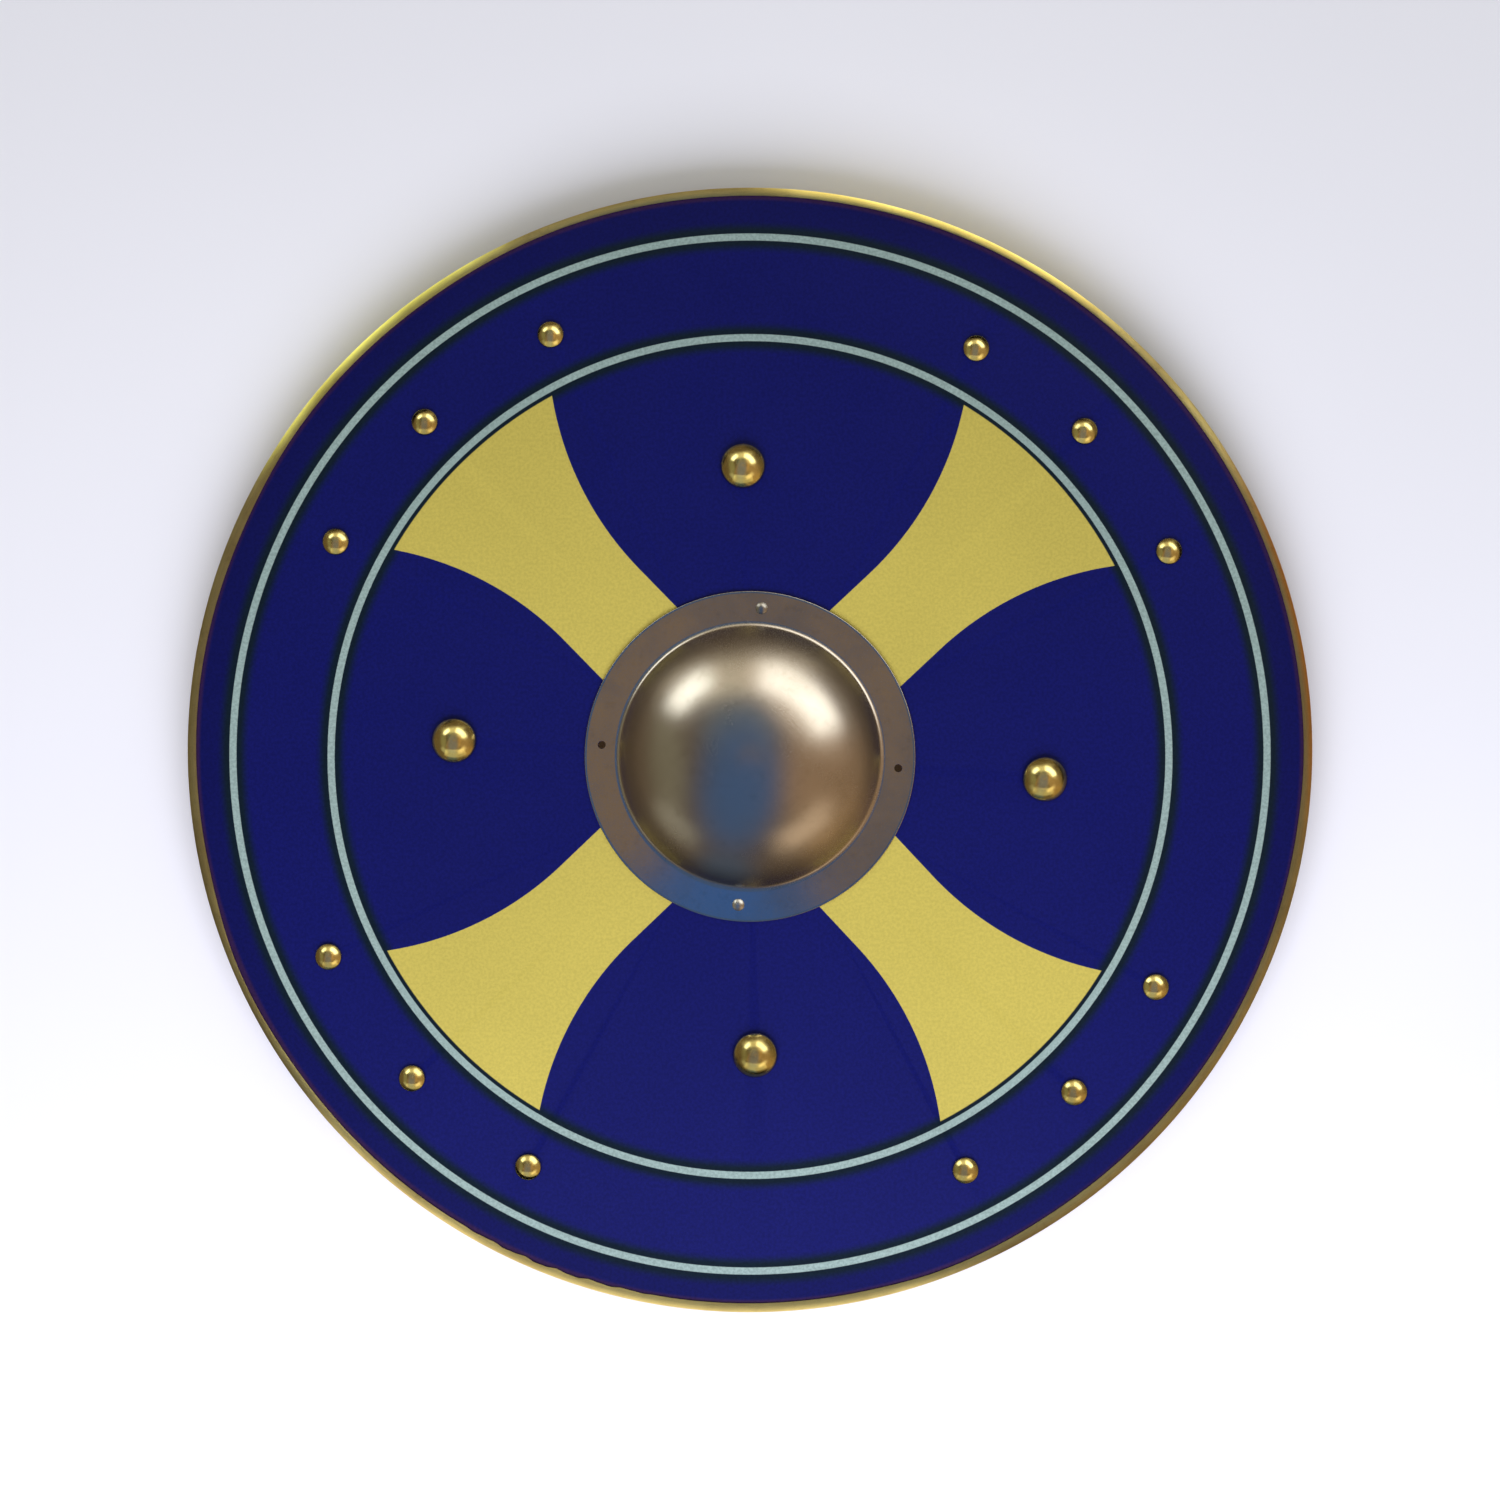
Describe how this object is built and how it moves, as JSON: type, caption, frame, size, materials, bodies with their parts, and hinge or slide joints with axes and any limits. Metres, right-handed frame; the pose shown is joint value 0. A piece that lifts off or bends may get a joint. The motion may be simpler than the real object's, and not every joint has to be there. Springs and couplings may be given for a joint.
{
  "type": "round shield",
  "caption": "Flat round wooden shield with a painted face, folded brass edging, a domed steel boss over the hand hole, domed brass studs and a wooden grip behind.",
  "frame": {"origin": "on the surface that the shield lies on, under the middle of the round edge", "axes": "+Z out of the painted face, +Y towards the shield's top as worn, +X to the right as seen from the front"},
  "size_m": [0.59, 0.59, 0.0571],
  "materials": {
    "painted_board": "satin paint on plywood, dark blue with a yellow cross and light blue rings",
    "rim_brass": "folded sheet, polished and slightly wavy",
    "boss_steel": "satin, warm grey",
    "nail_steel": "plain bright nail head",
    "stud_brass": "polished pale brass",
    "grip_wood": "bare sanded wood",
    "washer_brass": "plain"
  },
  "bodies": {
    "root": {"board": "painted_board", "rim": "rim_brass", "boss": "boss_steel", "boss_nail_top": "nail_steel", "boss_nail_bottom": "nail_steel", "large_stud_top": "stud_brass", "large_stud_left": "stud_brass", "large_stud_bottom": "stud_brass", "large_stud_right": "stud_brass", "small_stud_01": "stud_brass", "small_stud_02": "stud_brass", "small_stud_03": "stud_brass", "small_stud_04": "stud_brass", "small_stud_05": "stud_brass", "small_stud_06": "stud_brass", "small_stud_07": "stud_brass", "small_stud_08": "stud_brass", "small_stud_09": "stud_brass", "small_stud_10": "stud_brass", "small_stud_11": "stud_brass", "small_stud_12": "stud_brass", "grip": "grip_wood", "grip_washer_left": "washer_brass", "grip_washer_right": "washer_brass"}
  },
  "joints": []
}
